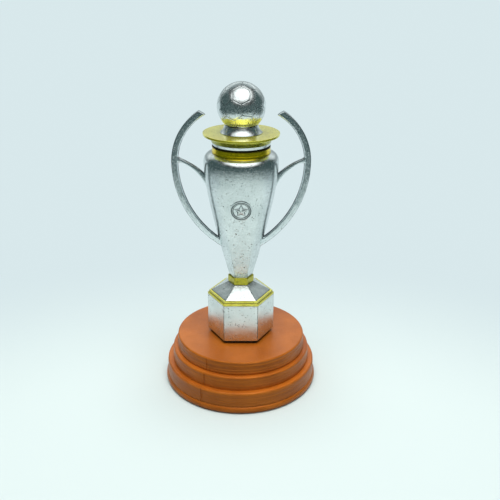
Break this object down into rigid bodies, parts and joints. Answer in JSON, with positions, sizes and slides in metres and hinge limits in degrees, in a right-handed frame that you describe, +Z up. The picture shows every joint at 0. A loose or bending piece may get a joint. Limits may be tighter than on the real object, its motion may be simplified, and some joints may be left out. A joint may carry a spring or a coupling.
{
  "type": "cup trophy",
  "caption": "Two-handled cup trophy with a lift-off ball-topped lid, on a six-sided plinth and a stepped round base.",
  "frame": {"origin": "centre of the base's underside, on the surface that the trophy stands on", "axes": "+Z up; the badge faces -Y; the two handles lie in the plane Y = 0, along +X and -X"},
  "size_m": [0.08, 0.08, 0.1561],
  "materials": {
    "silver_lacquer": "printed plastic under mirror-like silver lacquer, with fine pits",
    "gold_lacquer": "printed plastic under clear greenish-gold lacquer",
    "brown_plastic": "satin orange-brown printed plastic with fine layer lines",
    "steel_hardware": "plain zinc-plated steel",
    "pad_foam": "matt black foam"
  },
  "bodies": {
    "trophy": {"base_pad": "pad_foam", "base_flange": "brown_plastic", "base_tier_lower": "brown_plastic", "base_tier_middle": "brown_plastic", "base_tier_upper": "brown_plastic", "hex_plinth": "silver_lacquer", "plinth_trim": "gold_lacquer", "plinth_roof": "silver_lacquer", "stem_collar": "gold_lacquer", "cup_body": "silver_lacquer", "neck_ring": "gold_lacquer", "front_badge": "silver_lacquer", "right_handle": "silver_lacquer", "right_handle_strut": "silver_lacquer", "right_handle_screw": "steel_hardware", "left_handle": "silver_lacquer", "left_handle_strut": "silver_lacquer", "left_handle_screw": "steel_hardware", "tie_rod": "steel_hardware", "rod_nut_lower": "steel_hardware", "rod_washer_lower": "steel_hardware", "rod_washer_upper": "steel_hardware", "rod_nut_upper": "steel_hardware"},
    "lid": {"lid_plug": "silver_lacquer", "lid_ring": "silver_lacquer", "lid_disc": "gold_lacquer", "ball_cradle": "silver_lacquer", "ball_finial": "silver_lacquer", "finial_stud": "steel_hardware", "finial_nut": "steel_hardware"}
  },
  "joints": [
    {"name": "lid_lift", "type": "slide", "parent": "trophy", "child": "lid", "axis": [0, 0, 1], "range_m": [0, 0.0065]}
  ]
}
